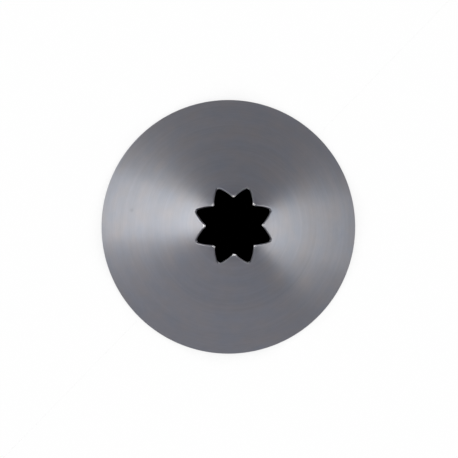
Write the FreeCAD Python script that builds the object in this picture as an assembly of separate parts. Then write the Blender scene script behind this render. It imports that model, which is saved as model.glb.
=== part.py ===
"""Open star piping nozzle: a cone of thin drawn steel whose narrow end is notched into teeth.

The nozzle stands on its wide rim. Z is its axis, with zero at the rim and the teeth uppermost, and the
first tooth points along X. The wall is one thickness all over. It rises as two cones that meet at a faint
ring left by the drawing, and above the notches' roots it curls inwards, so the teeth lean over the outlet
and leave a star-shaped opening. The teeth's ends are cut level. The wall is divided at the ring, below the
notches and midway along each notch, so that each stretch is a simple solid that meets its neighbours face
to face.
"""
import FreeCAD
import Part
import math
import os

# Driving dimensions, in millimetres
base_diameter = 35.0
ring_diameter = 22.6
ring_height = 24.5
notch_root_height = 46.4
wall = 0.25

# The star at the narrow end: diameters are across the opening, inside the wall
star_root_diameter = 9.76
star_tip_diameter = 7.02
notch_depth = 3.6
notch_root_radius = 0.18
tooth_end_width = 0.3
tooth_count = 8

# Height of the plain band that carries the teeth, below the notches' roots
tooth_band_height = 0.6

# The rim's two edges are rounded by this share of the wall
rim_rounding_share = 0.3

# How far a cut runs past the surface that it opens
cut_overrun = 1.0

centre = FreeCAD.Vector(0, 0, 0)
axis = FreeCAD.Vector(0, 0, 1)

base_radius = base_diameter / 2
ring_radius = ring_diameter / 2
star_root_radius = star_root_diameter / 2
star_tip_radius = star_tip_diameter / 2

# Leans of the wall from upright: the lower cone, the upper cone, and the teeth at their ends
lower_lean = math.atan2(base_radius - ring_radius, ring_height)
upper_run = ring_radius - star_root_radius
upper_rise = notch_root_height - ring_height
upper_lean = math.atan2(upper_run, upper_rise) - math.asin(wall / math.hypot(upper_run, upper_rise))
chord_lean = math.atan2(star_root_radius - star_tip_radius, notch_depth)
tooth_lean = 2 * chord_lean - upper_lean

# The wall measured level, across each cone
lower_wall = wall / math.cos(lower_lean)
upper_wall = wall / math.cos(upper_lean)

# Where the teeth's band meets the upper cone
band_height = notch_root_height - tooth_band_height
band_inner_radius = star_root_radius + tooth_band_height * math.tan(upper_lean)

# The arcs that the teeth follow, about one centre, and the lean of the outer arc at the level end
nozzle_height = notch_root_height + notch_depth
inner_curl = notch_depth / (math.sin(tooth_lean) - math.sin(upper_lean))
outer_curl = inner_curl + wall
outer_end_lean = math.asin((inner_curl * math.sin(tooth_lean)) / outer_curl)

tooth_pitch = 2 * math.pi / tooth_count


def at(radius, height):
    """A point of the wall's section, in the plane of X and Z."""
    return FreeCAD.Vector(radius, 0, height)


def on_curl(curl, lean):
    """The point of one of the teeth's arcs where the wall has this lean."""
    inner_root = at(star_root_radius, notch_root_height)
    curl_centre = inner_root - at(inner_curl * math.cos(upper_lean), inner_curl * math.sin(upper_lean))
    return curl_centre + at(curl * math.cos(lean), curl * math.sin(lean))


def turned(section, sweep):
    """The solid that a closed section sweeps about the axis, through an angle centred on X."""
    face = Part.Face(section)
    face.rotate(centre, axis, math.degrees(-sweep / 2))
    return face.revolve(centre, axis, math.degrees(sweep))


def base_cone():
    """The lower cone, from the rim up to the ring, with both edges of the rim rounded."""
    section = Part.makePolygon([
        at(base_radius - lower_wall, 0),
        at(base_radius, 0),
        at(ring_radius, ring_height),
        at(ring_radius - upper_wall, ring_height),
    ], True)
    cone = turned(section, 2 * math.pi)
    rim_edges = [edge for edge in cone.Edges if edge.BoundBox.ZMax < wall]
    return cone.makeFillet(wall * rim_rounding_share, rim_edges)


def tip_cone():
    """The upper cone, from the ring up to the band that carries the teeth."""
    section = Part.makePolygon([
        at(ring_radius - upper_wall, ring_height),
        at(ring_radius, ring_height),
        at(band_inner_radius + upper_wall, band_height),
        at(band_inner_radius, band_height),
    ], True)
    return turned(section, 2 * math.pi)


def tooth_section():
    """The wall's section through a tooth: its straight band, then arcs that leave the cone smoothly."""
    inner_foot = at(band_inner_radius, band_height)
    outer_foot = at(band_inner_radius + upper_wall, band_height)
    inner_root = on_curl(inner_curl, upper_lean)
    inner_middle = on_curl(inner_curl, chord_lean)
    inner_end = on_curl(inner_curl, tooth_lean)
    outer_root = on_curl(outer_curl, upper_lean)
    outer_middle = on_curl(outer_curl, (upper_lean + outer_end_lean) / 2)
    outer_end = on_curl(outer_curl, outer_end_lean)
    return Part.Wire([
        Part.makeLine(inner_foot, outer_foot),
        Part.makeLine(outer_foot, outer_root),
        Part.Arc(outer_root, outer_middle, outer_end).toShape(),
        Part.makeLine(outer_end, inner_end),
        Part.Arc(inner_end, inner_middle, inner_root).toShape(),
        Part.makeLine(inner_root, inner_foot),
    ])


def notch_cutter():
    """A wedge along X that opens one notch: straight flanks, tangent to a small arc at the root."""
    arc_centre_height = notch_root_height + notch_root_radius
    half_gap = star_tip_radius * math.sin(tooth_pitch / 2) - tooth_end_width / 2 * math.cos(tooth_pitch / 2)
    arc_to_end = nozzle_height - arc_centre_height
    flank_lean = math.atan2(half_gap, arc_to_end)
    flank_lean -= math.asin(notch_root_radius / math.hypot(half_gap, arc_to_end))
    flank_foot = FreeCAD.Vector(
        0,
        notch_root_radius * math.cos(flank_lean),
        arc_centre_height - notch_root_radius * math.sin(flank_lean),
    )
    top_height = nozzle_height + cut_overrun
    top_half_gap = flank_foot.y + (top_height - flank_foot.z) * math.tan(flank_lean)
    flank_top = FreeCAD.Vector(0, top_half_gap, top_height)
    other_foot = FreeCAD.Vector(0, -flank_foot.y, flank_foot.z)
    other_top = FreeCAD.Vector(0, -flank_top.y, flank_top.z)
    outline = Part.Wire([
        Part.Arc(other_foot, at(0, notch_root_height), flank_foot).toShape(),
        Part.makeLine(flank_foot, flank_top),
        Part.makeLine(flank_top, other_top),
        Part.makeLine(other_top, other_foot),
    ])
    return Part.Face(outline).extrude(at(band_inner_radius + upper_wall + cut_overrun, 0))


def tooth():
    """One tooth on its share of the band, pointing along X, with half a notch cut from each side."""
    body = turned(tooth_section(), tooth_pitch)
    for side in (-1, 1):
        cutter = notch_cutter()
        cutter.rotate(centre, axis, math.degrees(side * tooth_pitch / 2))
        body = body.cut(cutter)
    return body.Solids[0]


def star_teeth():
    """The ring of teeth, each one a turn of the first."""
    first = tooth()
    teeth = {}
    for number in range(tooth_count):
        turn = first.copy()
        turn.rotate(centre, axis, math.degrees(number * tooth_pitch))
        teeth[f"star_tooth_{number + 1}"] = turn
    return teeth


def main():
    """Write each stretch of the wall to its own file."""
    os.makedirs("parts", exist_ok=True)
    nodes = {"base_cone": base_cone(), "tip_cone": tip_cone(), **star_teeth()}
    for name, solid in nodes.items():
        solid.exportStep(f"parts/{name}.step")
    print(f"{len(nodes)} solids, {nozzle_height:.3f} mm high, wall {wall:.2f} mm")


main()
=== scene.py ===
"""Looks of an open star piping nozzle of thin satin steel, brushed around its axis and seen from above."""
import math

import bpy
import numpy as np
from mathutils import Matrix, Vector


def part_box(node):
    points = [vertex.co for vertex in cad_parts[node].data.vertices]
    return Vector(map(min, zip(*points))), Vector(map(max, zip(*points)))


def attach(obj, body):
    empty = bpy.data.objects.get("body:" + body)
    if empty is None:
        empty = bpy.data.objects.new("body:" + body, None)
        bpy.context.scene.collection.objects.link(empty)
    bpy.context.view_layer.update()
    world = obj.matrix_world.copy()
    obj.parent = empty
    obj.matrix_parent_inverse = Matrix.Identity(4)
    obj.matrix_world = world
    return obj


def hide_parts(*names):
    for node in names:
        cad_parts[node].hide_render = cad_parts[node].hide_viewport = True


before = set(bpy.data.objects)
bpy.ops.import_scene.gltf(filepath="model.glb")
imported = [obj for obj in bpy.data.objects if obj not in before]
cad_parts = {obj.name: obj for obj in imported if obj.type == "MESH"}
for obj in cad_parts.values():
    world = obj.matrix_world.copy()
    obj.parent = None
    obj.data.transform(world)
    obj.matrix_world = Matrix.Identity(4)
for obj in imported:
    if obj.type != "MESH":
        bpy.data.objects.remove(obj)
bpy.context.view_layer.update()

# How far the sheet's rim and top are drawn in, to stay inside the box of the faceted solids, in metres
box_inset = 0.000007

# Sizes of the drawn sheet, in metres
wall = 0.00025
base_radius = 0.0175 - box_inset
ring_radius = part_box("tip_cone")[1].x
ring_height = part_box("tip_cone")[0].z
star_root_radius = 0.00488
star_tip_radius = 0.00351
notch_root_height = 0.0464
notch_depth = 0.0036 - box_inset
notch_root_radius = 0.00018
tooth_end_width = 0.0003
tooth_count = 8

# Small roundings, in metres: the cut's outer edge is broken by a wide arc and finished by a tight one
rim_rounding = 0.000075
edge_break_rounding = 0.00018
edge_crease_rounding = 0.00002
inner_cut_rounding = 0.00003
tooth_corner_rounding = 0.00009

# How far round the cut's outer edge the wide arc goes
edge_break_sweep = math.radians(36)

# How far the rounding of the cut runs down the wall at a tooth's level end, as a share of its radius
end_share = 0.2

# Length over which the two cones ease into each other, in metres
ring_ease = 0.0012

# Height of the band at the teeth's level ends whose steel is lighter, as a painted highlight, in metres
level_end_band = 0.000012

# Leans of the wall from upright
lower_lean = math.atan2(base_radius - ring_radius, ring_height)
upper_run = ring_radius - star_root_radius
upper_rise = notch_root_height - ring_height
upper_lean = math.atan2(upper_run, upper_rise) - math.asin(wall / math.hypot(upper_run, upper_rise))
chord_lean = math.atan2(star_root_radius - star_tip_radius, notch_depth)
tooth_lean = 2 * chord_lean - upper_lean

# The inner face: its radius at the rim, distances along it from there, and the radius of the teeth's curl
rim_inner_radius = base_radius - wall / math.cos(lower_lean)
ring_along = ring_height / math.cos(lower_lean)
root_along = ring_along + upper_rise / math.cos(upper_lean)
curl_radius = notch_depth / (math.sin(tooth_lean) - math.sin(upper_lean))
end_along = root_along + curl_radius * (tooth_lean - upper_lean)

# The faces' plain rows start above the rim's rounding and end where the rows start to follow the star
plain_start = 3 * rim_rounding
crown_foot = root_along - 4 * wall

# Half the turn from one tooth to the next
half_pitch = math.pi / tooth_count

# How finely the wall's section is summed, and the points of each stretch of a notch's side
section_steps = 12000
notch_root_points = 8
flank_points = 18
tooth_corner_points = 7
tooth_end_points = 4

# Rows of each face, how they crowd towards the cut edge, and the shares of the way to it of two more
plain_rows = 36
ring_rows = 13
crown_rows = 15
crown_crowding = 1.6
near_edge_shares = (0.97, 0.99)

# Points of each arc and face that the section's loop rounds over, at the cut and at the rim
wide_arc_points = 7
tight_arc_points = 6
cut_face_points = 4
inner_arc_points = 5
rim_corner_points = 7

# Numbers of the finishes, other than the brushed one, in the order that the mesh holds them
# The teeth's level ends, whose lighter colour is a painted highlight
level_end = 1
# The notches' sides, whose darker colour is painted shade
notch_face = 2


def wall_line():
    """The inner face's section as arrays of distance along it, radius, height and lean.

    The lean holds still on each cone, eases from one to the other over the ring by a smooth step, and grows
    evenly with distance along the teeth. Radius and height are the running sums of its sine and cosine.
    """
    along = np.linspace(0, end_along, section_steps + 1)
    ease = np.clip((along - ring_along) / ring_ease + 0.5, 0, 1)
    curl = np.clip((along - root_along) / (end_along - root_along), 0, 1)
    lean = lower_lean + (upper_lean - lower_lean) * ease * ease * (3 - 2 * ease)
    lean = lean + (tooth_lean - upper_lean) * curl
    middle_lean = (lean[1:] + lean[:-1]) / 2
    step = np.diff(along)
    radius = rim_inner_radius - np.concatenate([[0], np.cumsum(np.sin(middle_lean) * step)])
    height = np.concatenate([[0], np.cumsum(np.cos(middle_lean) * step)])
    return along, radius, height, lean


line_along, line_radius, line_height, line_lean = wall_line()


def on_wall(along, depth):
    """Radius and height at a distance along the inner face and a depth straight out through the wall."""
    lean = np.interp(along, line_along, line_lean)
    radius = np.interp(along, line_along, line_radius) + depth * np.cos(lean)
    height = np.interp(along, line_along, line_height) + depth * np.sin(lean)
    return radius, height


def rounded_corner(corner, from_side, to_side, rounding, steps):
    """Points of the arc that rounds a corner in a plane, from one side's direction to the other's.

    The arc's centre lies on the corner's bisector, and each point is the first and last spokes mixed by the
    sines of the angles still to go and gone.
    """
    from_side = np.array(from_side) / np.hypot(*from_side)
    to_side = np.array(to_side) / np.hypot(*to_side)
    half_angle = math.acos(from_side @ to_side) / 2
    bisector = (from_side + to_side) / np.hypot(*(from_side + to_side))
    arc_centre = np.array(corner) + bisector * rounding / math.sin(half_angle)
    first = np.array(corner) + from_side * rounding / math.tan(half_angle) - arc_centre
    last = np.array(corner) + to_side * rounding / math.tan(half_angle) - arc_centre
    span = math.pi - 2 * half_angle
    share = np.linspace(0, 1, steps)[:, None]
    arc = (np.sin((1 - share) * span) * first + np.sin(share * span) * last) / math.sin(span)
    return arc_centre + arc


def notch_side():
    """Half widths and heights up one side of a notch, seen along its radius, from root to tooth end.

    A small arc at the root runs into a straight flank, and another rounds it over into the level end.
    """
    top = line_height[-1]
    half_gap = star_tip_radius * math.sin(half_pitch) - tooth_end_width / 2 * math.cos(half_pitch)
    arc_to_end = notch_depth - notch_root_radius
    flank_lean = math.atan2(half_gap, arc_to_end)
    flank_lean -= math.asin(notch_root_radius / math.hypot(half_gap, arc_to_end))
    turn = np.linspace(0, math.pi / 2 - flank_lean, notch_root_points)
    root = np.stack([np.sin(turn), 1 - np.cos(turn)], axis=-1) * notch_root_radius + [0, notch_root_height]
    down_flank = (-math.sin(flank_lean), -math.cos(flank_lean))
    corner = rounded_corner((half_gap, top), down_flank, (1, 0), tooth_corner_rounding, tooth_corner_points)
    share = np.linspace(0, 1, flank_points)[1:-1, None]
    flank = root[-1] + (corner[0] - root[-1]) * share
    return np.concatenate([root, flank, corner]).T


side_width, side_height = notch_side()


def star_edge(depth):
    """The cut edge around the axis at a depth out through the wall, as turns and distances along the wall.

    Each notch is cut level and straight out through the wall, so a point of its side keeps its height and
    half width at every depth, and its turn is the angle whose sine is the half width over the radius. The
    level end carries on to the middle of the tooth. Half a notch is mirrored and repeated around.
    """
    along = np.interp(side_height, line_height + depth * np.sin(line_lean), line_along)
    turn = np.arcsin(side_width / on_wall(along, depth)[0])
    end_turn = np.linspace(turn[-1], half_pitch, tooth_end_points)[1:]
    turn = np.concatenate([turn, end_turn])
    along = np.concatenate([along, np.full_like(end_turn, along[-1])])
    notch_turn = np.concatenate([-turn[::-1], turn[1:-1]])
    notch_along = np.concatenate([along[::-1], along[1:-1]])
    middles = half_pitch + 2 * half_pitch * np.arange(tooth_count)
    return (middles[:, None] + notch_turn).ravel(), np.tile(notch_along, tooth_count)


def edge_steepness(turn, reach):
    """How far the edge's rounding runs down the wall in each column, for each unit of its radius.

    It is the square root of the slope squared plus the roundness squared. The slope is the edge's climb
    along the wall over its length around. The roundness falls evenly from one at a notch's root to the end
    share at a tooth's level end, which is flatter.
    """
    slope = np.gradient(reach) / (np.gradient(turn) * on_wall(reach, 0)[0])
    roundness = np.interp(reach, [root_along, end_along], [1, end_share])
    return np.sqrt(roundness * roundness + slope * slope)


def broken_edge():
    """How far back over the edge, and down into the wall, each row of the cut's broken outer edge lies.

    The edge turns from the outer face to the cut by a quarter turn, on the wide arc up to its sweep and on
    the tight one after it. Each distance is the running sum of the arc's steps along its direction.
    """
    wide_turn = np.linspace(0, edge_break_sweep, wide_arc_points)
    tight_turn = np.linspace(edge_break_sweep, math.pi / 2, tight_arc_points)
    turn = np.concatenate([wide_turn, tight_turn[1:]])
    middle = (turn[1:] + turn[:-1]) / 2
    step = np.where(middle < edge_break_sweep, edge_break_rounding, edge_crease_rounding) * np.diff(turn)
    return np.cumsum(np.cos(middle) * step), np.cumsum(np.sin(middle) * step)


def cut_section(outer_back, outer_drop):
    """Depths in the wall of the cut's rows, and how far each lies below the edge where that is level.

    The rows follow the broken outer edge, cross the cut face and turn into the inner face on a quarter arc.
    """
    across = np.linspace(wall - outer_drop[-1], inner_cut_rounding, cut_face_points)[1:]
    quarter = np.linspace(0, math.pi / 2, inner_arc_points)[1:]
    depth = np.concatenate([wall - outer_drop, across, inner_cut_rounding * (1 - np.sin(quarter))])
    below = np.concatenate([
        outer_back[-1] - outer_back,
        np.zeros_like(across),
        inner_cut_rounding * (1 - np.cos(quarter)),
    ])
    return depth, below


def face_rows():
    """The rows of a face: distances along its plain part, and shares of the way up its crown of teeth.

    The plain rows are even, with more at the ring. The crown's rows lie at one less a power of the share
    still to go, so that they crowd towards the cut edge, and two more lie close to it.
    """
    near_ring = np.linspace(ring_along - ring_ease, ring_along + ring_ease, ring_rows)
    plain = np.union1d(np.linspace(plain_start, crown_foot, plain_rows), near_ring)
    crown = 1 - (1 - np.linspace(0, 1, crown_rows)[1:]) ** crown_crowding
    return plain[:, None], np.union1d(crown, near_edge_shares)[:, None]


def rim_section():
    """Radius and height of the rim's rows, from the inner face round to the outer one."""
    up_wall = (-math.sin(lower_lean), math.cos(lower_lean))
    inner_corner = rounded_corner((rim_inner_radius, 0), up_wall, (1, 0), rim_rounding, rim_corner_points)
    outer_corner = rounded_corner((base_radius, 0), (-1, 0), up_wall, rim_rounding, rim_corner_points)
    return np.concatenate([inner_corner, outer_corner])


def nozzle_surface():
    """Points of the closed wall as a grid: rows follow the section's loop, columns go around the axis.

    The loop climbs the outer face, rounds over the cut edge, comes down the inner face and rounds the rim.
    On the crown a row lies at a fixed share of the way from the crown's foot to the face's end in its own
    column. The cut's last row is the inner face's end, so the inner crown starts one row below it. After
    the points come the map's two coordinates, as shares of a turn and of the loop, and the number of each
    quad's finish.
    """
    outer_turn, outer_reach = star_edge(wall)
    inner_turn, inner_reach = star_edge(0)
    steepness = edge_steepness(inner_turn, inner_reach)
    outer_back, outer_drop = broken_edge()
    cut_depth, cut_below = cut_section(outer_back, outer_drop)
    cut_turn, cut_reach = np.stack([star_edge(depth) for depth in cut_depth], axis=1)
    outer_face_end = outer_reach - outer_back[-1] * steepness
    inner_face_end = inner_reach - inner_cut_rounding * steepness

    plain, crown = face_rows()
    face_row_count = len(plain) + len(crown)
    all_columns = np.ones_like(steepness)
    along = np.concatenate([
        plain * all_columns,
        crown_foot + (outer_face_end - crown_foot) * crown,
        cut_reach - cut_below[:, None] * steepness,
        crown_foot + (inner_face_end - crown_foot) * crown[-2::-1],
        plain[::-1] * all_columns,
    ])
    depth = np.concatenate([
        np.full(face_row_count, wall),
        cut_depth,
        np.zeros(face_row_count - 1),
    ])[:, None]
    radius, height = on_wall(along, depth * all_columns)

    rim = rim_section()
    rim_share = np.linspace(0, 1, len(rim))[:, None]
    radius = np.concatenate([radius, rim[:, :1] * all_columns])
    height = np.concatenate([height, rim[:, 1:] * all_columns])
    turn = np.concatenate([
        np.tile(outer_turn, (face_row_count, 1)),
        cut_turn,
        np.tile(inner_turn, (face_row_count - 1, 1)),
        inner_turn + (outer_turn - inner_turn) * rim_share,
    ])
    points = np.stack([radius * np.cos(turn), radius * np.sin(turn), height], axis=-1)

    inner_start = 2 * end_along + wall
    distance = np.concatenate([
        np.where(depth > wall / 2, along, inner_start - along),
        inner_start + wall * rim_share * all_columns,
    ])
    finish = np.zeros(points.shape[:2], np.int32)
    cut_start = face_row_count - 1
    cut_end = cut_start + len(cut_depth)
    # The rest of the cut gets the darker notch steel, whose colour is painted shade
    finish[cut_start + len(outer_drop):cut_end] = notch_face
    # The cut's rows at the teeth's level ends get the lighter steel, a painted highlight
    at_level_end = height[cut_start:cut_end] > line_height[-1] - level_end_band
    finish[cut_start:cut_end][at_level_end] = level_end
    return points, turn / (2 * math.pi), distance / (inner_start + 2 * wall), finish


def closed_grid_mesh(name, points, around, along):
    """A mesh of the quads between neighbouring points of a grid that closes on itself both ways.

    The map's first coordinate goes once around the axis, and its second along the loop from its first row.
    """
    rows, columns = points.shape[:2]
    row, column = np.divmod(np.arange(rows * columns), columns)
    next_row, next_column = (row + 1) % rows, (column + 1) % columns
    corners = np.stack([
        row * columns + column,
        row * columns + next_column,
        next_row * columns + next_column,
        next_row * columns + column,
    ], axis=-1)
    around = np.pad(around, ((0, 1), (0, 1)), mode="wrap")
    along = np.pad(along, ((0, 1), (0, 1)), mode="wrap")
    around[:, -1] += 1
    along[-1] += 1
    places = np.stack([around, along], axis=-1)
    corner_maps = np.stack([
        places[row, column],
        places[row, column + 1],
        places[row + 1, column + 1],
        places[row + 1, column],
    ], axis=1)
    mesh = bpy.data.meshes.new(name)
    mesh.from_pydata(points.reshape(-1, 3).tolist(), [], corners.tolist())
    mesh.uv_layers.new(name="around_and_along")
    mesh.uv_layers[0].uv.foreach_set("vector", corner_maps.astype(np.float32).ravel())
    mesh.polygons.foreach_set("use_smooth", np.ones(len(corners), bool))
    mesh.update()
    return mesh


def make_nozzle():
    """The nozzle as one unbroken sheet, in place of the solids that divide its wall."""
    points, around, along, finish = nozzle_surface()
    mesh = closed_grid_mesh("nozzle", points, around, along)
    mesh.materials.append(brushed_steel())
    # Lighter steel on the teeth's level ends: a painted highlight
    mesh.materials.append(cut_steel("level_end_steel", end_highlight_colour, end_roughness))
    # Darker steel on the notches' sides: painted shade
    mesh.materials.append(cut_steel("notch_steel", notch_shaded_colour, notch_roughness))
    mesh.polygons.foreach_set("material_index", finish.ravel())
    nozzle = bpy.data.objects.new("nozzle", mesh)
    bpy.context.scene.collection.objects.link(nozzle)
    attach(nozzle, "root")
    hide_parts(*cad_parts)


def new_material(name):
    """An empty node material and a function that adds a node to it with given inputs."""
    material = bpy.data.materials.new(name)
    material.use_nodes = True
    tree = material.node_tree
    tree.nodes.clear()

    def add(kind, inputs=None, **settings):
        node = tree.nodes.new(kind)
        for key, value in settings.items():
            setattr(node, key, value)
        for key, value in (inputs or {}).items():
            if isinstance(value, bpy.types.NodeSocket):
                tree.links.new(value, node.inputs[key])
            else:
                node.inputs[key].default_value = value
        return node

    return material, add


def add_noise(add, place, scale, detail, roughness):
    """Noise at a place, with its scale counted in features to a metre along X, Y and Z."""
    stretched = add("ShaderNodeMapping", {"Vector": place, "Scale": scale})
    inputs = {"Vector": stretched.outputs[0], "Scale": 1, "Detail": detail, "Roughness": roughness}
    return add("ShaderNodeTexNoise", inputs).outputs[0]


def add_spread(add, value, middle, reach, low=0, high=1):
    """A value from low to high, carried over to a span that reaches equally far either side of a middle."""
    return add("ShaderNodeMapRange", {
        "Value": value,
        "From Min": low,
        "From Max": high,
        "To Min": middle - reach,
        "To Max": middle + reach,
    }).outputs[0]


# Colours of the brushed steel, and the tints of its blotches
steel_dark = (0.31, 0.31, 0.344, 1)
steel_light = (0.53, 0.53, 0.577, 1)
cool_tint = (0.89, 0.965, 1.045, 1)
warm_tint = (1.11, 1.035, 0.955, 1)

# Its brush marks, from fine to broad, its blotches and its mottling, as noise with features to a metre
brush_lines = {"scale": (150, 150, 8000), "detail": 3, "roughness": 0.6}
brush_grooves = {"scale": (45, 45, 1100), "detail": 4, "roughness": 0.6}
brush_rings = {"scale": (45, 45, 260), "detail": 4, "roughness": 0.7}
steel_blotches = {"scale": (360, 360, 130), "detail": 2, "roughness": 0.5}
steel_mottling = {"scale": (900, 900, 300), "detail": 2, "roughness": 0.5}

# Shares of the grooves among the brush marks and of the rings in the shade
groove_share = 0.5
ring_share = 0.4

# How far the mottling shades the steel, and the part of its noise that counts
mottle_shade = 0.02
mottle_low = 0.3
mottle_high = 0.7

# Roughness of the steel and how far it varies, and the height in metres and strength of its brush marks
steel_roughness = 0.6
steel_roughness_reach = 0.03
brush_depth = 0.0000028
brush_strength = 0.3

# The share of a turn that lays the spread of the highlights across the brush marks
across_brush_marks = 0.25

# A faint dark scuff on the lower cone: its middle, and its reach along X, Y and Z, in metres
scuff_place = Vector((-0.01308, 0.00233, 0.01665))
scuff_reach = Vector((0.0008, 0.0004, 0.0022))
scuff_shade = 0.17


def scuff_factor(add, place):
    """The share of the shade that the scuff leaves, rising by a smooth step to one at the scuff's reach."""
    from_scuff = add("ShaderNodeVectorMath", {0: place, 1: scuff_place}, operation="SUBTRACT")
    in_reach = add("ShaderNodeVectorMath", {0: from_scuff.outputs[0], 1: scuff_reach}, operation="DIVIDE")
    distance = add("ShaderNodeVectorMath", {0: in_reach.outputs[0]}, operation="LENGTH").outputs["Value"]
    return add("ShaderNodeMapRange", {
        "Value": distance,
        "To Min": 1 - scuff_shade,
        "To Max": 1,
    }, interpolation_type="SMOOTHSTEP").outputs[0]


def brushed_steel():
    """Satin steel whose brush marks run around the axis, so that highlights spread up and down the cone.

    Fine lines, longer grooves and broader rings set its shade, blotches its tint, and a faint mottling and
    one scuff vary it.
    """
    material, add = new_material("brushed_steel")
    place = add("ShaderNodeTexCoord").outputs["Object"]
    lines = add_noise(add, place, **brush_lines)
    grooves = add_noise(add, place, **brush_grooves)
    rings = add_noise(add, place, **brush_rings)
    blotches = add_noise(add, place, **steel_blotches)
    mottling = add_noise(add, place, **steel_mottling)
    brushed = add("ShaderNodeMix", {0: groove_share, 2: lines, 3: grooves}).outputs[0]
    shade = add("ShaderNodeMix", {0: ring_share, 2: brushed, 3: rings}).outputs[0]
    colour = add("ShaderNodeMix", {0: shade, 6: steel_dark, 7: steel_light}, data_type="RGBA").outputs[2]
    tint = add("ShaderNodeMix", {0: blotches, 6: cool_tint, 7: warm_tint}, data_type="RGBA").outputs[2]
    mottle = add_spread(add, mottling, 1, mottle_shade, mottle_low, mottle_high)
    for factor in (tint, mottle, scuff_factor(add, place)):
        colour = add("ShaderNodeVectorMath", {0: colour, 1: factor}, operation="MULTIPLY").outputs[0]
    bump = add("ShaderNodeBump", {"Height": brushed, "Strength": brush_strength, "Distance": brush_depth})
    tangent = add("ShaderNodeTangent", direction_type="UV_MAP", uv_map="around_and_along")
    steel = add("ShaderNodeBsdfPrincipled", {
        "Base Color": colour,
        "Metallic": 1,
        "Roughness": add_spread(add, rings, steel_roughness, steel_roughness_reach),
        "Anisotropic": 1,
        "Anisotropic Rotation": across_brush_marks,
        "Tangent": tangent.outputs[0],
        "Normal": bump.outputs[0],
    })
    add("ShaderNodeOutputMaterial", {"Surface": steel.outputs[0]})
    return material


# The cut faces: the teeth's level ends are smoother and lighter, and the notches' sides rougher and darker.
# The roughness is their finish, but the ends' lighter colour is a painted highlight and the sides' darker
# colour painted shade
end_highlight_colour = (0.62, 0.62, 0.63)
end_roughness = 0.24
notch_shaded_colour = (0.36, 0.36, 0.385)
notch_roughness = 0.38

# Drag marks on the cut faces, and how far they vary the shade and the roughness
drag_marks = {"scale": (2500, 2500, 2500), "detail": 3, "roughness": 0.6}
drag_shade = 0.1
drag_roughness_reach = 0.04


def cut_steel(name, cut_colour, cut_roughness):
    """A narrow face left by cutting the sheet, with fine drag marks in its shade and its roughness."""
    material, add = new_material(name)
    place = add("ShaderNodeTexCoord").outputs["Object"]
    marks = add_noise(add, place, **drag_marks)
    shade = add_spread(add, marks, 1, drag_shade)
    colour = add("ShaderNodeVectorMath", {0: cut_colour, 1: shade}, operation="MULTIPLY")
    steel = add("ShaderNodeBsdfPrincipled", {
        "Base Color": colour.outputs[0],
        "Metallic": 1,
        "Roughness": add_spread(add, marks, cut_roughness, drag_roughness_reach),
    })
    add("ShaderNodeOutputMaterial", {"Surface": steel.outputs[0]})
    return material


# The floor: its paint, its glow, how white it looks, and its half side in metres
floor_colour = (0.9, 0.9, 0.9, 1)
floor_glow = (1, 1, 1, 1)
floor_white = 0.995
floor_half_side = 6.0

# The nozzle's shade on the floor: its reach in metres, and its samples
floor_shade_reach = 0.06
floor_shade_samples = 16

# How open the floor is to the room where it looks black, and where it looks white
black_openness = 0.2
white_openness = 0.68


def pale_floor():
    """A pale floor, white to the camera and in reflections, with a soft shade near and under the nozzle."""
    material, add = new_material("pale_floor")
    path = add("ShaderNodeLightPath")
    seen = add("ShaderNodeMath", {0: path.outputs["Is Camera Ray"], 1: path.outputs["Is Glossy Ray"]})
    seen = add("ShaderNodeMath", {
        0: seen.outputs[0],
        1: path.outputs["Is Transmission Ray"],
    }, use_clamp=True)
    openness = add("ShaderNodeAmbientOcclusion", {
        "Distance": floor_shade_reach,
    }, samples=floor_shade_samples)
    shade = add("ShaderNodeMapRange", {
        "Value": openness.outputs["AO"],
        "From Min": black_openness,
        "From Max": white_openness,
        "To Min": 0,
        "To Max": floor_white,
    })
    glow = add("ShaderNodeEmission", {"Color": floor_glow, "Strength": shade.outputs[0]})
    paint = add("ShaderNodeBsdfDiffuse", {"Color": floor_colour})
    both = add("ShaderNodeMixShader", {0: seen.outputs[0], 1: paint.outputs[0], 2: glow.outputs[0]})
    add("ShaderNodeOutputMaterial", {"Surface": both.outputs[0]})
    return material


def make_floor():
    """A level square that the nozzle stands on."""
    side = floor_half_side
    mesh = bpy.data.meshes.new("floor")
    corners = [(-side, -side, 0), (side, -side, 0), (side, side, 0), (-side, side, 0)]
    mesh.from_pydata(corners, [], [(0, 1, 2, 3)])
    mesh.materials.append(pale_floor())
    floor = bpy.data.objects.new("floor", mesh)
    bpy.context.scene.collection.objects.link(floor)


def make_panel(name, colour, azimuth, distance, width, low, high, radiance):
    """An upright panel of light that faces the nozzle from one side, between two heights.

    The azimuth is in degrees, counted from X towards Y. Its power is pi times its radiance and its area.
    """
    lamp = bpy.data.lights.new(name, "AREA")
    lamp.color = colour
    lamp.shape = "RECTANGLE"
    lamp.size = width
    lamp.size_y = high - low
    lamp.energy = radiance * math.pi * width * (high - low)
    panel = bpy.data.objects.new(name, lamp)
    turn = math.radians(azimuth)
    place = Vector((distance * math.cos(turn), distance * math.sin(turn), (low + high) / 2))
    facing = Vector((-math.cos(turn), -math.sin(turn), 0))
    panel.matrix_world = Matrix.Translation(place) @ facing.to_track_quat("-Z", "Y").to_matrix().to_4x4()
    panel.visible_camera = False
    bpy.context.scene.collection.objects.link(panel)


def make_overhead(name, height, side, radiance):
    """A square lamp high above the nozzle, facing straight down."""
    lamp = bpy.data.lights.new(name, "AREA")
    lamp.shape = "SQUARE"
    lamp.size = side
    lamp.energy = radiance * math.pi * side * side
    overhead = bpy.data.objects.new(name, lamp)
    overhead.location = (0, 0, height)
    bpy.context.scene.collection.objects.link(overhead)


# Colours of the near panels, of the wall in front and of the room beyond
warm_light = (0.99, 1, 0.955)
cool_light = (0.96, 0.995, 1.08)
room_colour = (0.012, 0.012, 0.03, 1)

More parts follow.
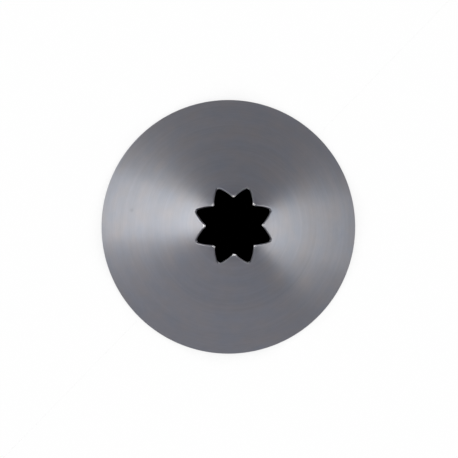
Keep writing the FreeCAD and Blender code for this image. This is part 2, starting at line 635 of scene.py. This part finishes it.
# The lights: azimuths in degrees, and distances, widths and heights in metres
left_panel = {
    "azimuth": 167.4, "distance": 0.06, "width": 0.056,
    "low": 0.07, "high": 0.317, "radiance": 3.12,
}
right_panel = {
    "azimuth": 353.2, "distance": 0.04, "width": 0.0492,
    "low": 0.0585, "high": 0.0985, "radiance": 3.03,
}
left_card = {
    "azimuth": 168.9, "distance": 0.034, "width": 0.0212,
    "low": 0, "high": 0.032, "radiance": 0.68,
}
right_card = {
    "azimuth": 357.4, "distance": 0.034, "width": 0.0238,
    "low": 0, "high": 0.038, "radiance": 0.34,
}
front_wall = {
    "azimuth": 235.3, "distance": 0.5, "width": 2.6,
    "low": 0, "high": 1, "radiance": 0.193,
}
overhead_lamp = {"height": 1.0, "side": 0.16, "radiance": 2.0}


def light_room():
    """Soft light close on each side, from a panel above the tip and a low card, with a dim wall in front.

    A small lamp hangs overhead, and the room beyond is dark.
    """
    make_panel("left_panel", warm_light, **left_panel)
    make_panel("right_panel", warm_light, **right_panel)
    make_panel("front_wall", cool_light, **front_wall)
    make_panel("left_card", warm_light, **left_card)
    make_panel("right_card", warm_light, **right_card)
    make_overhead("overhead", **overhead_lamp)
    world = bpy.data.worlds.new("room")
    bpy.context.scene.world = world
    world.use_nodes = True
    world.node_tree.nodes["Background"].inputs["Color"].default_value = room_colour


# The camera: its place, the floor's point at the picture's middle, its roll, its lens and its near limit
camera_place = Vector((-0.00671, -0.00155, 0.5))
camera_target = Vector((0.0000745, -0.0003, 0))
camera_roll = math.radians(0.73)
camera_lens_mm = 285.3
camera_near = 0.01


def make_camera():
    """A long lens almost straight above the nozzle, with Y almost straight up in the picture."""
    lens = bpy.data.cameras.new("camera")
    lens.lens = camera_lens_mm
    lens.clip_start = camera_near
    camera = bpy.data.objects.new("camera", lens)
    back = (camera_place - camera_target).normalized()
    right = Vector((math.sin(camera_roll), math.cos(camera_roll), 0)).cross(back).normalized()
    up = back.cross(right)
    camera.matrix_world = Matrix.Translation(camera_place) @ Matrix((right, up, back)).transposed().to_4x4()
    bpy.context.scene.collection.objects.link(camera)
    bpy.context.scene.camera = camera


make_nozzle()
make_floor()
light_room()
make_camera()
bpy.context.scene.view_settings.view_transform = "Standard"
